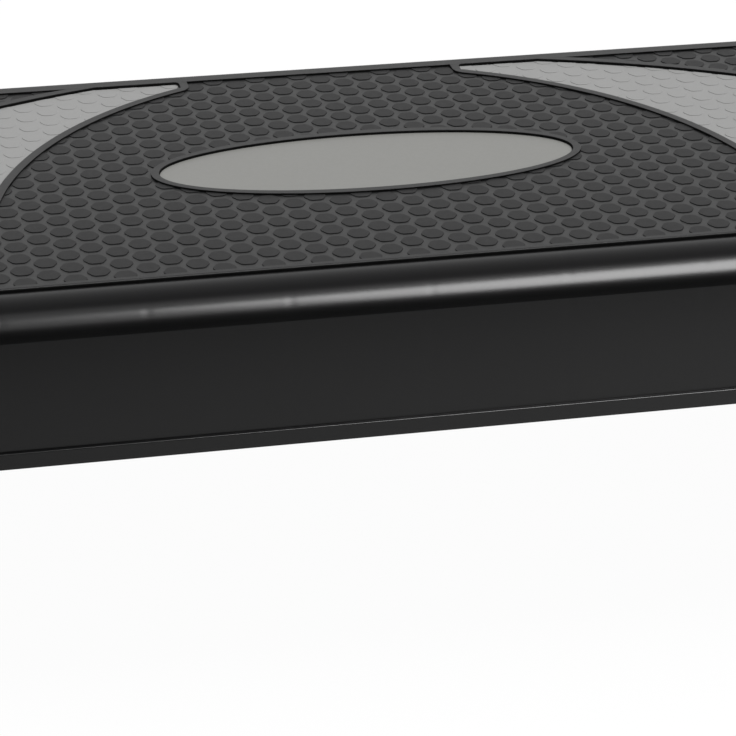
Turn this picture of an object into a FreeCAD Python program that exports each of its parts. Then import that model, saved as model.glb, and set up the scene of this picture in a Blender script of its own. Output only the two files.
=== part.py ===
"""Aerobic step platform: a ribbed, moulded deck with a rubber tread and two legs that flip to three heights.

X runs along the deck, the front faces -Y, Z is up and the origin lies on the floor under the deck's middle.
The legs stand at their highest setting. Millimetres and degrees.
"""
import FreeCAD
import Part
import Sketcher

import math
import os
import re

# Driving sizes: the only place where a number is set.
SIZES = {
    # heights of the tread above the floor at the three settings
    "high_setting": 200,
    "middle_setting": 150,
    "low_setting": 100,
    # deck shell
    "deck_length": 780,
    "deck_depth": 290,
    "deck_height": 78,
    "corner_radius": 45,
    "shoulder_radius": 17,
    "skirt_draft": 1,
    "hem_height": 8,
    "hem_proud": 1.5,
    "hem_round": 0.7,
    "deck_wall": 3,
    # ribs under the deck
    "rib_thickness": 2.5,
    "rib_pitch": 65,
    "rib_depth": 35,
    "bay_rib_depth": 20,
    "bay_rib_reach": 98,
    # tread mat
    "mat_inset": 20.5,
    "mat_seat": 1.2,
    "mat_gap": 0.25,
    "mat_thickness": 2.9,
    "mat_floor": 1.7,
    "band_width": 6,
    "front_band": 3.2,
    # black dome in the middle of the tread: each side is an arc with a straight flank in front of it
    "dome_radius": 203.7,
    "dome_depth": 197.9,
    "dome_cross": 13,
    "dome_band": 4.4,
    "flank_rise": 39.4,
    "tip_reach": 71.2,
    "tip_round": 3,
    "tip_band_round": 8,
    # outer edge of the grey inlays
    "sweep_radius": 443,
    "sweep_start": 120,
    "sweep_end": 55,
    "sweep_band": 4.5,
    "inlay_thickness": 1.6,
    "inlay_gap": 0.2,
    # oval badge plate and the ring round it
    "badge_length": 208,
    "badge_depth": 69,
    "badge_forward": 5.6,
    "badge_thickness": 2,
    "badge_gap": 0.2,
    "badge_ring": 4,
    "badge_round": 0.5,
    # leg frames
    "leg_side_room": 27,
    "leg_end_room": 12,
    "leg_head": 20,
    "toe_lift": 6,
    "cheek_thickness": 14,
    "hinge_post": 30,
    "outer_post": 16,
    "head_rail": 18,
    "foot_rail": 22,
    "foot_relief": 8,
    "beam_drop": 22,
    "beam_reach": 45,
    "head_round": 15,
    "shoulder_round": 19,
    "foot_round": 8,
    "window_round": 10,
    "core_wall": 6,
    "core_skin": 8,
    "foot_skin": 4,
    "core_round": 3,
    "leg_rib": 3,
    # rubber foot strips
    "strip_proud": 3,
    "strip_seat": 2,
    "strip_width": 9,
    "strip_gap": 0.1,
    "strip_margin": 4,
    "strip_round": 0.8,
    # hinges
    "rod_diameter": 8,
    "rod_room": 10,
    "rod_chamfer": 0.8,
    "rod_clearance": 0.05,
    "hinge_gap": 1,
    "saddle_width": 36,
    "saddle_top": 16,
    "saddle_height": 46,
    "cap_length": 15,
    "cap_flange": 4,
    "cap_wall": 4.5,
    "screw_spread": 12.5,
    "screw_diameter": 3.5,
    "screw_grip": 12,
    "screw_head": 7,
    "screw_head_height": 2.4,
    "screw_clearance": 0.1,
    # allowance past a face for cuts that run out of the solid
    "overrun": 5,
}

# Counts of ribs, and shares that carry the outer band's width to where its slanting edge meets a border.
RIBS_EACH_SIDE = 3
BAY_RIBS = 2
LONG_RIBS = 5
CORE_CELLS = 5
SWEEP_RUN_SHARE = 3.5
SWEEP_DROP_SHARE = 1.75
STRIP_END_SHARE = 0.05

# Two edges closer than this are the same edge.
CLOSE = 1e-4

# Sizes that follow from the driving ones.
DECK_TOP = "(deck_height - mat_seat + mat_thickness)"
STANCE = f"(high_setting - {DECK_TOP})"
SKIRT_X = "(deck_length / 2 - hem_proud)"
SKIRT_Y = "(deck_depth / 2 - hem_proud)"
CEILING = "(deck_height - mat_seat - deck_wall)"
MAT_BASE = "(deck_height - mat_seat)"
MAT_X = "(deck_length / 2 - mat_inset)"
MAT_Y = "(deck_depth / 2 - mat_inset)"
MAT_CORNER = "(corner_radius - mat_inset)"
FIELD_X = f"({MAT_X} - band_width)"
FIELD_Y = f"({MAT_Y} - band_width)"
FIELD_FRONT = f"({MAT_Y} - front_band)"
FIELD_CORNER = f"({MAT_CORNER} - band_width)"
DOME_CENTRE = f"({FIELD_Y} - dome_depth)"
FLANK_RISE = "(flank_rise / dome_radius)"
FLANK_RUN = f"(sqrt(1 - {FLANK_RISE}^2))"
LEG_INNER = f"({DECK_TOP} - low_setting + strip_proud)"
LEG_OUTER = f"(middle_setting - {DECK_TOP} - strip_proud)"
LEG_FOOT = f"({DECK_TOP} - high_setting + strip_proud)"
TOE_REACH = f"(toe_lift - {LEG_FOOT})"
TOE_X = f"(sqrt({TOE_REACH}^2 - {LEG_FOOT}^2))"
TOE_Z = f"(-sqrt({TOE_REACH}^2 - {LEG_OUTER}^2))"
LEG_HALF = "(deck_depth / 2 - leg_side_room)"
CHEEK_MIDDLE = f"({LEG_HALF} - cheek_thickness / 2)"
GAP_HALF = f"({LEG_HALF} - cheek_thickness)"
HINGE_X = f"(deck_length / 2 - leg_end_room - {TOE_REACH})"
SADDLE_FACE = f"({LEG_HALF} + hinge_gap)"
SCREW_Y = f"(-{SADDLE_FACE} - cap_length / 2)"
BORE = "(rod_diameter / 2 + rod_clearance)"
CAP_OUTER = f"({BORE} + cap_wall)"

doc = FreeCAD.newDocument("aerobic_step")
sheet = doc.addObject("Spreadsheet::Sheet", "Sizes")
for row, (alias, size) in enumerate(SIZES.items(), start=1):
    sheet.set(f"A{row}", alias)
    sheet.set(f"B{row}", str(size))
    sheet.setAlias(f"B{row}", alias)
doc.recompute()


def number(text):
    """The present value of a sum of named sizes."""
    return float(sheet.evalExpression(text))


def tie(item, name, text):
    """Bind one property of an object to a sum of named sizes."""
    bound = re.sub(r"[a-z]\w*", lambda word: f"Sizes.{word[0]}" if word[0] in SIZES else word[0], text)
    item.setExpression(name, bound)


def plane(body, role):
    return next(item for item in body.Origin.OriginFeatures if item.Role == role)


def new_body(name, x="0", z="0"):
    """A body, moved along X and Z to its place in the step."""
    body = doc.addObject("PartDesign::Body", name)
    body.Label = name
    tie(body, "Placement.Base.x", x)
    tie(body, "Placement.Base.z", z)
    return body


def new_sketch(body, role="XY_Plane", offset="0"):
    """A sketch on one of the body's own planes, shifted along the plane's normal."""
    sketch = body.newObject("Sketcher::SketchObject", f"{body.Name}_sketch")
    sketch.AttachmentSupport = [(plane(body, role), "")]
    sketch.MapMode = "FlatFace"
    tie(sketch, "AttachmentOffset.Base.z", offset)
    return sketch


def hold(sketch, kind, *rest):
    return sketch.addConstraint(Sketcher.Constraint(kind, *rest))


def hold_size(sketch, text, kind, *rest):
    """A constraint whose value is tied to a sum of named sizes."""
    index = hold(sketch, kind, *rest, number(text))
    tie(sketch, f"Constraints[{index}]", text)


def arc_between(start, end, radius, turn):
    """The shorter arc from start to end; turn is 1 for counter-clockwise and -1 for clockwise."""
    middle = (start + end) * 0.5
    chord = end - start
    rise = math.sqrt(max(radius ** 2 - chord.Length ** 2 / 4, 0))
    side = FreeCAD.Vector(-chord.y, chord.x, 0).normalize()
    centre = middle + side * rise * turn
    first = math.atan2(start.y - centre.y, start.x - centre.x)
    last = math.atan2(end.y - centre.y, end.x - centre.x)
    if turn < 0:
        first, last = last, first
    return Part.ArcOfCircle(Part.Circle(centre, FreeCAD.Vector(0, 0, 1), radius), first, last)


def outline(sketch, *corners):
    """A closed outline. A corner is (x, y), or (x, y, radius, turn) where an arc leads to it."""
    points = [FreeCAD.Vector(number(corner[0]), number(corner[1]), 0) for corner in corners]
    edges = []
    for index, corner in enumerate(corners):
        start = points[index - 1]
        if len(corner) == 2:
            edges.append((sketch.addGeometry(Part.LineSegment(start, points[index]), False), 1, 2))
            continue
        arc = arc_between(start, points[index], number(corner[2]), corner[3])
        ends = (1, 2) if corner[3] > 0 else (2, 1)
        edges.append((sketch.addGeometry(arc, False), *ends))
    for index, (edge, first, last) in enumerate(edges):
        following, start, _ = edges[(index + 1) % len(edges)]
        hold(sketch, "Coincident", edge, last, following, start)
        for text, kind, axis in ((corners[index][0], "DistanceX", -2), (corners[index][1], "DistanceY", -1)):
            if text == "0":
                hold(sketch, "PointOnObject", edge, last, axis)
            else:
                hold_size(sketch, text, kind, -1, 1, edge, last)
        if len(corners[index]) > 2:
            hold_size(sketch, corners[index][2], "Radius", edge)


def rounded_box(sketch, left, right, front, back, radius):
    """A rectangle with round corners between four lines."""
    outline(
        sketch,
        (f"{right} - {radius}", front),
        (right, f"{front} + {radius}", radius, 1),
        (right, f"{back} - {radius}"),
        (f"{right} - {radius}", back, radius, 1),
        (f"{left} + {radius}", back),
        (left, f"{back} - {radius}", radius, 1),
        (left, f"{front} + {radius}"),
        (f"{left} + {radius}", front, radius, 1),
    )


def mirrored_box(sketch, half_x, half_y, radius):
    """A rounded rectangle about the sketch's origin."""
    rounded_box(sketch, f"-{half_x}", half_x, f"-{half_y}", half_y, radius)


def oval(sketch, half_x, half_y, forward):
    """An ellipse on the sketch's Y axis, in front of its origin."""
    centre = FreeCAD.Vector(0, -number(forward), 0)
    ellipse = sketch.addGeometry(Part.Ellipse(centre, number(half_x), number(half_y)), False)
    sketch.exposeInternalGeometry(ellipse)
    hold(sketch, "PointOnObject", ellipse, 3, -2)
    hold_size(sketch, f"-{forward}", "DistanceY", -1, 1, ellipse, 3)
    hold(sketch, "Horizontal", ellipse + 1)
    hold_size(sketch, f"2 * {half_x}", "Distance", ellipse + 1)
    hold_size(sketch, f"2 * {half_y}", "Distance", ellipse + 2)


def hole(sketch, x, y, radius):
    """A circle at a point of the sketch."""
    centre = FreeCAD.Vector(number(x), number(y), 0)
    circle = sketch.addGeometry(Part.Circle(centre, FreeCAD.Vector(0, 0, 1), number(radius)), False)
    for text, kind, axis in ((x, "DistanceX", -2), (y, "DistanceY", -1)):
        if text == "0":
            hold(sketch, "PointOnObject", circle, 3, axis)
        else:
            hold_size(sketch, text, kind, -1, 1, circle, 3)
    hold_size(sketch, radius, "Radius", circle)


def pad(body, sketch, length, both_ways=False, backwards=False, taper=None):
    feature = body.newObject("PartDesign::Pad", f"{body.Name}_pad")
    feature.Profile = sketch
    feature.Midplane = both_ways
    feature.Reversed = backwards
    tie(feature, "Length", length)
    if taper:
        tie(feature, "TaperAngle", taper)
    doc.recompute()
    return feature


def pocket(body, sketch, depth=None, both_ways=False, backwards=False):
    """Cut a sketch into the body, to a depth or right through."""
    before = body.Shape.Volume
    feature = body.newObject("PartDesign::Pocket", f"{body.Name}_pocket")
    feature.Profile = sketch
    feature.Midplane = both_ways
    feature.Reversed = backwards
    if depth:
        tie(feature, "Length", depth)
    else:
        feature.Type = "ThroughAll"
    doc.recompute()
    if not body.Shape.Volume < before:
        raise RuntimeError(f"{feature.Name} cuts nothing")
    return feature


def round_edges(body, radius, choose):
    """Round the edges of the body's last feature that the test picks."""
    base = body.Tip
    names = [f"Edge{index}" for index, edge in enumerate(base.Shape.Edges, start=1) if choose(edge)]
    feature = body.newObject("PartDesign::Fillet", f"{body.Name}_fillet")
    feature.Base = (base, names)
    tie(feature, "Radius", radius)
    doc.recompute()
    return feature


def repeat(body, features, role, length, count):
    """Copies of features in a row along one of the body's axes."""
    row = body.newObject("PartDesign::LinearPattern", f"{body.Name}_row")
    row.Originals = features
    row.Direction = (plane(body, role), [""])
    tie(row, "Length", length)
    row.Occurrences = count
    body.Tip = row
    doc.recompute()
    return row


def mirror_features(body, features, role):
    """The same features on the other side of one of the body's planes."""
    twin = body.newObject("PartDesign::Mirrored", f"{body.Name}_mirrored")
    twin.Originals = features
    twin.MirrorPlane = (plane(body, role), [""])
    body.Tip = twin
    doc.recompute()
    return twin


def mirror_piece(source, name, normal, x="0"):
    """A mirrored copy of a whole piece."""
    twin = doc.addObject("Part::Mirroring", name)
    twin.Label = name
    twin.Source = source
    twin.Normal = normal
    tie(twin, "Base.x", x)
    return twin


def combine(kind, name, *pieces):
    """A union or a group of whole pieces."""
    whole = doc.addObject(kind, name)
    whole.Label = name
    if kind == "Part::MultiFuse":
        whole.Shapes = list(pieces)
    else:
        whole.Links = list(pieces)
    return whole


def cut(name, base, tool):
    piece = doc.addObject("Part::Cut", name)
    piece.Label = name
    piece.Base = base
    piece.Tool = tool
    return piece


def at_height(edge, height):
    return abs(edge.BoundBox.ZMin - height) < CLOSE and abs(edge.BoundBox.ZMax - height) < CLOSE


def along_y(edge, x, z):
    """True for an edge that runs along Y through the point x, z of a body's own frame."""
    box = edge.BoundBox
    straight = box.XLength < CLOSE and box.ZLength < CLOSE
    return straight and abs(box.XMin - x) < CLOSE and abs(box.ZMin - z) < CLOSE


def upright(edge, x, y):
    """True for a vertical edge at x, y, on either side of the middle."""
    box = edge.BoundBox
    straight = box.XLength < CLOSE and box.YLength < CLOSE
    return straight and abs(abs(box.XMin) - x) < CLOSE and abs(box.YMin - y) < CLOSE


ALONG_X = FreeCAD.Vector(1, 0, 0)
ALONG_Y = FreeCAD.Vector(0, 1, 0)


def deck_outside():
    """The moulding's outer form: drafted skirt, round shoulder, hem lip and the shallow seat for the mat."""
    body = new_body("deck_outside")
    skirt = new_sketch(body)
    mirrored_box(skirt, SKIRT_X, SKIRT_Y, "(corner_radius - hem_proud)")
    pad(body, skirt, "deck_height", taper="-skirt_draft")
    top = number("deck_height")
    round_edges(body, "shoulder_radius", lambda edge: at_height(edge, top))
    hem = new_sketch(body)
    mirrored_box(hem, "(deck_length / 2)", "(deck_depth / 2)", "corner_radius")
    pad(body, hem, "hem_height")
    hem_top = number("hem_height")
    round_edges(body, "hem_round", lambda edge: at_height(edge, hem_top) and on_hem(edge))
    seat = new_sketch(body, offset="deck_height")
    mirrored_box(seat, f"({MAT_X} + mat_gap)", f"({MAT_Y} + mat_gap)", f"({MAT_CORNER} + mat_gap)")
    pocket(body, seat, "mat_seat")
    return body


def on_hem(edge):
    """True for an edge of the hem's own outline, which lies outside the skirt."""
    middle = edge.valueAt((edge.FirstParameter + edge.LastParameter) / 2)
    corner_x = number("deck_length / 2 - corner_radius")
    corner_y = number("deck_depth / 2 - corner_radius")
    beyond_x = max(abs(middle.x) - corner_x, 0)
    beyond_y = max(abs(middle.y) - corner_y, 0)
    return math.hypot(beyond_x, beyond_y) > number("corner_radius - hem_proud / 2")


def deck_cavity():
    """The hollow under the deck, before ribs and saddles."""
    body = new_body("deck_cavity")
    mouth = new_sketch(body)
    mirrored_box(mouth, f"({SKIRT_X} - deck_wall)", f"({SKIRT_Y} - deck_wall)",
                 "(corner_radius - hem_proud - deck_wall)")
    pad(body, mouth, CEILING, taper="-skirt_draft")
    top = number(CEILING)
    round_edges(body, "(shoulder_radius - deck_wall)", lambda edge: at_height(edge, top))
    return body


def deck_ribs():
    """A grid of ribs under the deck: deep between the legs, shallow over the leg bays."""
    body = new_body("deck_ribs")
    body.AllowCompound = True
    half = "(rib_thickness / 2)"
    deep_x = f"(rib_pitch * {RIBS_EACH_SIDE})"
    row_y = "bay_rib_reach"

    def rib(left, right, front, back, depth):
        sketch = new_sketch(body, offset=CEILING)
        outline(sketch, (right, front), (right, back), (left, back), (left, front))
        return pad(body, sketch, depth, backwards=True)

    first_row = (f"(-{row_y} - {half})", f"({half} - {row_y})")
    long_shallow = rib("(-deck_length / 2)", "(deck_length / 2)", *first_row, "bay_rib_depth")
    repeat(body, [long_shallow], "Y_Axis", f"2 * {row_y}", LONG_RIBS)
    long_deep = rib(f"-{deep_x}", deep_x, *first_row, "rib_depth")
    repeat(body, [long_deep], "Y_Axis", f"2 * {row_y}", LONG_RIBS)
    first_column = (f"(-{deep_x} - {half})", f"({half} - {deep_x})")
    cross = rib(*first_column, "(-deck_depth / 2)", "(deck_depth / 2)", "rib_depth")
    repeat(body, [cross], "X_Axis", f"2 * {deep_x}", 2 * RIBS_EACH_SIDE + 1)
    for place in range(RIBS_EACH_SIDE + 1, RIBS_EACH_SIDE + BAY_RIBS + 1):
        for step in (place, -place):
            rib(f"({step} * rib_pitch - {half})", f"({step} * rib_pitch + {half})", f"-{row_y}", row_y,
                "bay_rib_depth")
    return body


def hinge_saddle():
    """One tapering block inside the skirt, with half the rod's bore and two screw pilots."""
    body = new_body("right_front_saddle", x=HINGE_X)
    block = new_sketch(body, "XZ_Plane", SADDLE_FACE)
    outline(block, ("saddle_width / 2", "0"), ("saddle_top / 2", "saddle_height"),
            ("-saddle_top / 2", "saddle_height"), ("-saddle_width / 2", "0"))
    pad(body, block, f"(deck_depth / 2 - {SADDLE_FACE})")
    bore = new_sketch(body, "XZ_Plane")
    hole(bore, "0", "0", BORE)
    pocket(body, bore, both_ways=True)
    pilots = new_sketch(body)
    for side in ("screw_spread", "-screw_spread"):
        hole(pilots, side, SCREW_Y, "(screw_diameter / 2 + screw_clearance / 2)")
    pocket(body, pilots, "screw_grip", backwards=True)
    return body


def deck_shell():
    """The finished moulding: the outer form less its hollow, with ribs and saddles left standing."""
    front = hinge_saddle()
    rear = mirror_piece(front, "right_rear_saddle", ALONG_Y)
    right = combine("Part::MultiFuse", "right_saddles", front, rear)
    inside = combine("Part::MultiFuse", "deck_inside", deck_ribs(), right,
                     mirror_piece(right, "left_saddles", ALONG_X))
    hollow = cut("deck_hollow", deck_cavity(), inside)
    shell = cut("deck_shell", deck_outside(), hollow)
    tie(shell, "Placement.Base.z", STANCE)
    return shell


def dome_side(radius, tip_x, front):
    """The right side of the dome at a radius: its tip, its flank's start and where that meets the front."""
    tip = (tip_x, f"({DOME_CENTRE} + sqrt({radius}^2 - ({tip_x} + dome_cross)^2))")
    flank_x = f"({radius} * {FLANK_RUN} - dome_cross)"
    flank_y = f"({DOME_CENTRE} + {radius} * {FLANK_RISE})"
    end = (f"({flank_x} + ({flank_y} + {front}) * {FLANK_RISE} / {FLANK_RUN})", f"-{front}")
    return tip, (flank_x, flank_y), end


def inlay_outline(sketch, gap):
    """The right grey inlay: from a blunt tip at the back border it widens to the front corner."""
    band = f"(dome_band + {gap})"
    right = f"({FIELD_X} - {gap})"
    back = f"({FIELD_Y} - {gap})"
    front = f"({FIELD_FRONT} - {gap})"
    corner = f"({FIELD_CORNER} - {gap})"
    radius = f"(dome_radius + {band})"
    tip_x = f"(tip_reach + {band})"
    tip, flank, end = dome_side(radius, tip_x, front)
    outline(
        sketch,
        (*flank, radius, -1),
        end,
        (f"({right} - {corner})", f"-{front}"),
        (right, f"({corner} - {front})", corner, 1),
        (right, f"(-sweep_end - {SWEEP_DROP_SHARE} * {gap})"),
        (f"(sweep_start - {SWEEP_RUN_SHARE} * {gap})", back, f"(sweep_radius - {gap})", 1),
        (f"({tip_x} + tip_round)", back),
        (tip_x, f"({back} - tip_round)", "tip_round", 1),
        tip,
    )


def tread_mat():
    """The rubber mat: sunken fields between raised bands, open where the inlays and the badge lie."""
    body = new_body("tread_mat", z=f"({STANCE} + {MAT_BASE})")
    sheet_edge = new_sketch(body)
    mirrored_box(sheet_edge, MAT_X, MAT_Y, MAT_CORNER)
    pad(body, sheet_edge, "mat_thickness")
    tip, flank, end = dome_side("dome_radius", "tip_reach", FIELD_FRONT)
    dome = new_sketch(body, offset="mat_thickness")
    outline(
        dome,
        end,
        flank,
        (*tip, "dome_radius", 1),
        ("tip_reach", FIELD_Y),
        ("-tip_reach", FIELD_Y),
        (f"-{tip[0]}", tip[1]),
        (f"-{flank[0]}", flank[1], "dome_radius", 1),
        (f"-{end[0]}", end[1]),
    )
    ring = "(badge_gap + badge_ring)"
    oval(dome, f"(badge_length / 2 + {ring})", f"(badge_depth / 2 + {ring})", "badge_forward")
    pocket(body, dome, "(mat_thickness - mat_floor)")
    corner = new_sketch(body, offset="mat_thickness")
    outline(
        corner,
        (FIELD_X, f"(-sweep_end + {SWEEP_DROP_SHARE} * sweep_band)", "(sweep_radius + sweep_band)", -1),
        (FIELD_X, f"({FIELD_Y} - {FIELD_CORNER})"),
        (f"({FIELD_X} - {FIELD_CORNER})", FIELD_Y, FIELD_CORNER, 1),
        (f"(sweep_start + {SWEEP_RUN_SHARE} * sweep_band)", FIELD_Y),
    )
    corner_field = pocket(body, corner, "(mat_thickness - mat_floor)")
    inlay = new_sketch(body, offset="mat_thickness")
    inlay_outline(inlay, "0")
    inlay_opening = pocket(body, inlay)
    mirror_features(body, [corner_field, inlay_opening], "YZ_Plane")
    badge = new_sketch(body, offset="mat_thickness")
    oval(badge, "(badge_length / 2 + badge_gap)", "(badge_depth / 2 + badge_gap)", "badge_forward")
    pocket(body, badge)
    tip_x, tip_y = number(tip[0]), number(tip[1])
    round_edges(body, "tip_band_round", lambda edge: upright(edge, tip_x, tip_y))
    return body


def tread_inlays():
    """The two grey inlays, mirror images, in the mat's openings."""
    right = new_body("right_tread_inlay", z=f"({STANCE} + {MAT_BASE})")
    shape = new_sketch(right)
    inlay_outline(shape, "inlay_gap")
    pad(right, shape, "inlay_thickness")
    return [right, mirror_piece(right, "left_tread_inlay", ALONG_X)]


def badge_plate():
    """The bare oval plate, with a softened rim."""
    body = new_body("badge_plate", z=f"({STANCE} + {MAT_BASE})")
    shape = new_sketch(body)
    oval(shape, "(badge_length / 2)", "(badge_depth / 2)", "badge_forward")
    pad(body, shape, "badge_thickness")
    top = number("badge_thickness")
    round_edges(body, "badge_round", lambda edge: at_height(edge, top))
    return body


def hinge_rod():
    """One steel rod, through both cheeks of a leg and into the saddles."""
    body = new_body("right_hinge_rod", x=HINGE_X, z=STANCE)
    section = new_sketch(body, "XZ_Plane")
    hole(section, "0", "0", "(rod_diameter / 2)")
    pad(body, section, "(deck_depth - 2 * rod_room)", both_ways=True)
    rod = body.Tip
    ends = body.newObject("PartDesign::Chamfer", "rod_ends")
    ends.Base = (rod, [f"Edge{index}" for index, edge in enumerate(rod.Shape.Edges, start=1) if edge.Closed])
    tie(ends, "Size", "rod_chamfer")
    doc.recompute()
    return body


def hinge_cap():
    """One cap that closes a saddle from below: a strap round the rod with a flange for two screws."""
    body = new_body("right_front_hinge_cap", x=HINGE_X, z=STANCE)
    strap = new_sketch(body, "XZ_Plane", SADDLE_FACE)
    neck = f"(sqrt({CAP_OUTER}^2 - cap_flange^2))"
    outline(
        strap,
        ("saddle_width / 2", "0"),
        (BORE, "0"),
        ("0", f"-{BORE}", BORE, -1),
        (f"-{BORE}", "0", BORE, -1),
        ("-saddle_width / 2", "0"),
        ("-saddle_width / 2", "-cap_flange"),
        (f"-{neck}", "-cap_flange"),
        (neck, "-cap_flange", CAP_OUTER, 1),
        ("saddle_width / 2", "-cap_flange"),
    )
    pad(body, strap, "cap_length")
    screws = new_sketch(body)
    for side in ("screw_spread", "-screw_spread"):
        hole(screws, side, SCREW_Y, "(screw_diameter / 2 + screw_clearance)")
    pocket(body, screws, both_ways=True)
    return body


def cap_screw():
    """One pan-head screw, from under a cap's flange into the saddle."""
    body = new_body("cap_screw", x=f"({HINGE_X} + screw_spread)", z=f"({STANCE} - cap_flange)")
    tie(body, "Placement.Base.y", SCREW_Y)
    half = new_sketch(body, "XZ_Plane")
    shank = "(screw_diameter / 2)"
    outline(
        half,
        ("0", "-screw_head_height"),
        ("screw_head / 4", "-screw_head_height"),
        ("screw_head / 2", "-screw_head_height / 2"),
        ("screw_head / 2", "0"),
        (shank, "0"),
        (shank, "cap_flange + screw_grip - screw_diameter"),
        ("0", "cap_flange + screw_grip - screw_diameter / 2"),
    )
    turned = body.newObject("PartDesign::Revolution", "screw_turned")
    turned.Profile = half
    turned.ReferenceAxis = (half, ["V_Axis"])
    turned.Angle = 360
    doc.recompute()
    return body


def core_cells(body, half, base, depth):
    """A row of hollows up into one beam of the leg, with ribs left standing between them."""
    cell = f"((2 * {half} - {CORE_CELLS - 1} * leg_rib) / {CORE_CELLS})"
    mouth = new_sketch(body, offset=base)
    rounded_box(mouth, f"({LEG_INNER} + core_wall)", "(beam_reach - core_wall)",
                f"-{half}", f"({cell} - {half})", "core_round")
    hollow = pocket(body, mouth, depth, backwards=True)
    repeat(body, [hollow], "Y_Axis", f"(2 * {half} - {cell})", CORE_CELLS)


def leg_frame():
    """One moulded leg about its hinge axis: two windowed cheeks, joined by a cored beam at head and foot."""
    body = new_body("right_leg_frame", x=HINGE_X, z=STANCE)
    profile = new_sketch(body, "XZ_Plane")
    outline(
        profile,
        (LEG_INNER, LEG_FOOT),
        (TOE_X, LEG_FOOT),
        (LEG_OUTER, TOE_Z, TOE_REACH, 1),
        (LEG_OUTER, "leg_head"),
        (LEG_INNER, "leg_head"),
    )
    pad(body, profile, f"2 * {LEG_HALF}", both_ways=True)
    for radius, x, z in (("head_round", LEG_INNER, "leg_head"), ("shoulder_round", LEG_OUTER, "leg_head"),
                         ("foot_round", LEG_INNER, LEG_FOOT)):
        place = (number(x), number(z))
        round_edges(body, radius, lambda edge: along_y(edge, *place))
    window = new_sketch(body, "XZ_Plane")
    rounded_box(window, f"({LEG_INNER} + hinge_post)", f"({LEG_OUTER} - outer_post)",
                f"({LEG_FOOT} + foot_rail)", "(leg_head - head_rail)", "window_round")
    pocket(body, window, both_ways=True)
    doorway = new_sketch(body, "YZ_Plane")
    rounded_box(doorway, f"-{GAP_HALF}", GAP_HALF, f"({LEG_FOOT} + foot_rail)", "-beam_drop", "window_round")
    pocket(body, doorway, both_ways=True)
    relief = new_sketch(body, "YZ_Plane", "beam_reach")
    outline(relief, (GAP_HALF, f"({LEG_FOOT} - overrun)"), (GAP_HALF, "leg_head + overrun"),
            (f"-{GAP_HALF}", "leg_head + overrun"), (f"-{GAP_HALF}", f"({LEG_FOOT} - overrun)"))
    pocket(body, relief, backwards=True)
    arch = new_sketch(body, "YZ_Plane")
    outline(arch, (f"({GAP_HALF} - foot_relief)", f"({LEG_FOOT} + foot_relief)"),
            (f"(foot_relief - {GAP_HALF})", f"({LEG_FOOT} + foot_relief)"),
            (f"-{GAP_HALF}", f"({LEG_FOOT} - overrun)"), (GAP_HALF, f"({LEG_FOOT} - overrun)"))
    pocket(body, arch, both_ways=True)
    core_cells(body, GAP_HALF, "-beam_drop", "(beam_drop + leg_head - core_skin)")
    core_cells(body, f"({GAP_HALF} - foot_relief)", LEG_FOOT, "(foot_rail - foot_skin)")
    bore = new_sketch(body, "XZ_Plane")
    hole(bore, "0", "0", BORE)
    pocket(body, bore, both_ways=True)
    grooves = []
    for face in STRIPS.values():
        groove = new_sketch(body, face["plane"], face["offset"])
        strip_outline(groove, face, "0")
        grooves.append(pocket(body, groove, "strip_seat", backwards=face["inward"] > 0))
    mirror_features(body, grooves, "XZ_Plane")
    return body


# The three foot faces of a leg: the plane and offset of each, where its strip runs and which way is inward.
STRIPS = {
    "high": {"plane": "XY_Plane", "offset": LEG_FOOT, "inward": 1,
             "start": f"({LEG_INNER} + foot_round + strip_margin)", "end": f"({TOE_X} - strip_margin)"},
    "low": {"plane": "YZ_Plane", "offset": LEG_INNER, "inward": 1,
            "start": f"({LEG_FOOT} + foot_round + strip_margin)",
            "end": "(leg_head - head_round - strip_margin)"},
    "middle": {"plane": "YZ_Plane", "offset": LEG_OUTER, "inward": -1,
               "start": f"({TOE_Z} + strip_margin)", "end": "(leg_head - shoulder_round - strip_margin)"},
}


def strip_outline(sketch, face, gap):
    """A long rounded strip on the front cheek's foot face."""
    half = f"(strip_width / 2 - {gap})"
    start = f"({face['start']} + {gap})"
    end = f"({face['end']} - {gap})"
    front = f"(-{CHEEK_MIDDLE} - {half})"
    back = f"({half} - {CHEEK_MIDDLE})"
    radius = f"({half} - {STRIP_END_SHARE} * {half})"
    if face["plane"] == "XY_Plane":
        rounded_box(sketch, start, end, front, back, radius)
    else:
        rounded_box(sketch, front, back, start, end, radius)


def foot_strip(setting):
    """One rubber strip, seated in its groove and proud of the foot face."""
    face = STRIPS[setting]
    body = new_body(f"right_front_{setting}_strip", x=HINGE_X, z=STANCE)
    seat = f"({face['offset']} + {face['inward']} * strip_seat)"
    shape = new_sketch(body, face["plane"], seat)
    strip_outline(shape, face, "strip_gap")
    pad(body, shape, "(strip_seat + strip_proud)", backwards=face["inward"] > 0)
    outside = number(face["offset"]) - face["inward"] * number("strip_proud")
    axis = "Z" if face["plane"] == "XY_Plane" else "X"

    def on_tread(edge):
        ends = (getattr(edge.BoundBox, f"{axis}{end}") for end in ("Min", "Max"))
        return all(abs(end - outside) < CLOSE for end in ends)

    round_edges(body, "strip_round", on_tread)
    return body


def four_corners(piece):
    """A right front piece and its twins at the other three corners."""
    rear = mirror_piece(piece, piece.Label.replace("front", "rear"), ALONG_Y)
    lefts = [mirror_piece(item, item.Label.replace("right", "left"), ALONG_X) for item in (piece, rear)]
    return [piece, rear, *lefts]


def both_sides(piece):
    return [piece, mirror_piece(piece, piece.Label.replace("right", "left"), ALONG_X)]


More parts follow.
